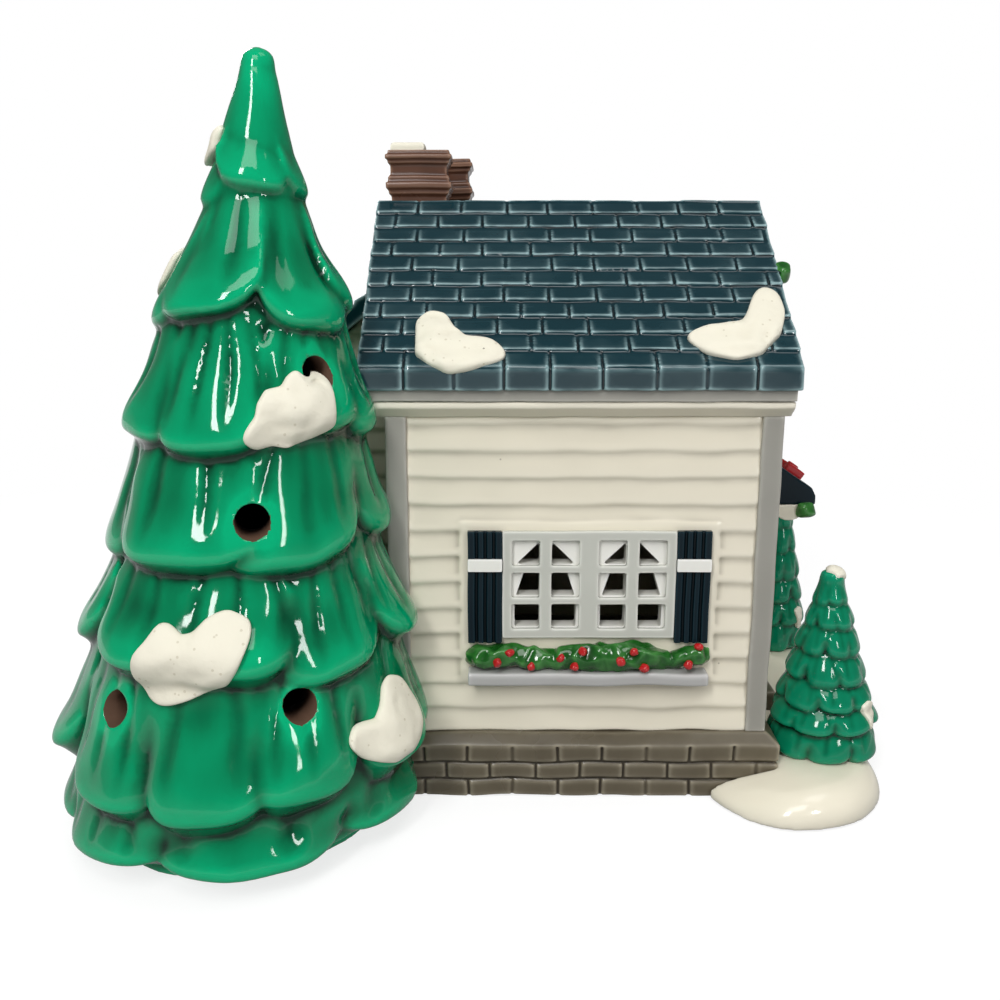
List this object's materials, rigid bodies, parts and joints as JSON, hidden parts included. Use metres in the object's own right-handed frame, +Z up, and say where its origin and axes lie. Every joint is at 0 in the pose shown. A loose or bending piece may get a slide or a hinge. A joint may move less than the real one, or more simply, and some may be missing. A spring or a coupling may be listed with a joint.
{
  "type": "ceramic christmas village house",
  "caption": "Glazed ceramic village house with a tall hollow fir tree, stone foundation, shingled roof, snow, shuttered windows and a pull-out lamp that lights it from behind.",
  "frame": {"origin": "middle of the main block's footprint on the table plane", "axes": "+X from the rear wing to the front door, +Y from the pictured side to the far side, +Z up"},
  "size_m": [0.2052, 0.1562, 0.1735],
  "materials": {
    "bisque": "unglazed",
    "stone_glaze": "satin glaze",
    "cream_glaze": "gloss glaze",
    "grey_glaze": "gloss glaze",
    "navy_glaze": "high gloss glaze",
    "brown_glaze": "satin glaze",
    "snow_glaze": "matte textured glaze",
    "white_glaze": "gloss glaze",
    "leaf_glaze": "gloss glaze",
    "red_glaze": "gloss glaze",
    "fir_glaze": "high gloss pooled glaze",
    "brass": "polished",
    "holder_plastic": "moulded",
    "spring_steel": "brushed",
    "bulb_glass": "clear"
  },
  "bodies": {
    "house": {"chimney_far": "brown_glaze", "chimney_near": "brown_glaze", "chimney_snow_cap": "snow_glaze", "corner_boards": "grey_glaze", "door_frame": "grey_glaze", "door_hood": "navy_glaze", "door_knob": "brass", "eave_crown_moulding": "cream_glaze", "eave_fascia": "grey_glaze", "far_garland_berries": "red_glaze", "far_shutter_bands": "white_glaze", "far_shutters": "navy_glaze", "far_topiary": "fir_glaze", "far_window_curtains": "white_glaze", "far_window_garland": "leaf_glaze", "far_window_ledge": "white_glaze", "far_window_sashes": "grey_glaze", "floor_slab": "bisque", "front_door": "navy_glaze", "front_rake_boards": "grey_glaze", "front_step": "stone_glaze", "front_window_curtains": "white_glaze", "front_window_sashes": "grey_glaze", "front_yard_snow": "snow_glaze", "gable_garland": "leaf_glaze", "hood_bow": "red_glaze", "hood_garland": "leaf_glaze", "hood_valance": "cream_glaze", "house_walls": "cream_glaze", "main_roof": "navy_glaze", "near_garland_berries": "red_glaze", "near_shutter_bands": "white_glaze", "near_shutters": "navy_glaze", "near_topiary": "fir_glaze", "near_window_curtains": "white_glaze", "near_window_garland": "leaf_glaze", "near_window_ledge": "white_glaze", "near_window_sashes": "grey_glaze", "rear_rake_boards": "grey_glaze", "roof_snow_far": "snow_glaze", "roof_snow_left": "snow_glaze", "roof_snow_right": "snow_glaze", "stone_foundation": "stone_glaze", "topiary_snow_caps": "snow_glaze", "tree_shell": "fir_glaze", "tree_snow_patches": "snow_glaze", "wing_fascia": "grey_glaze", "wing_roof": "navy_glaze"},
    "lamp": {"lamp_holder": "holder_plastic", "screw_shell": "brass", "centre_contact": "brass"},
    "clip_upper": {"clip_leaf_upper": "spring_steel"},
    "clip_lower": {"clip_leaf_lower": "spring_steel"},
    "bulb": {"bulb_base": "brass", "bulb_tip": "brass", "bulb_glass": "bulb_glass"}
  },
  "joints": [
    {"name": "lamp_pull", "type": "slide", "parent": "house", "child": "lamp", "axis": [-1, 0, 0], "range_m": [0, 0.07]},
    {"name": "bulb_turn", "type": "hinge", "parent": "lamp", "child": "bulb", "pos_m": [-0.045, 0.024, 0.038], "axis": [1, 0, 0], "continuous": true},
    {"name": "clip_upper_squeeze", "type": "hinge", "parent": "lamp", "child": "clip_upper", "pos_m": [-0.0732, 0.024, 0.04795], "axis": [0, 1, 0], "range_deg": [0, 5], "stiffness_Nm_per_rad": 0.2},
    {"name": "clip_lower_squeeze", "type": "hinge", "parent": "lamp", "child": "clip_lower", "pos_m": [-0.0732, 0.024, 0.02805], "axis": [0, -1, 0], "range_deg": [0, 5], "stiffness_Nm_per_rad": 0.2}
  ]
}
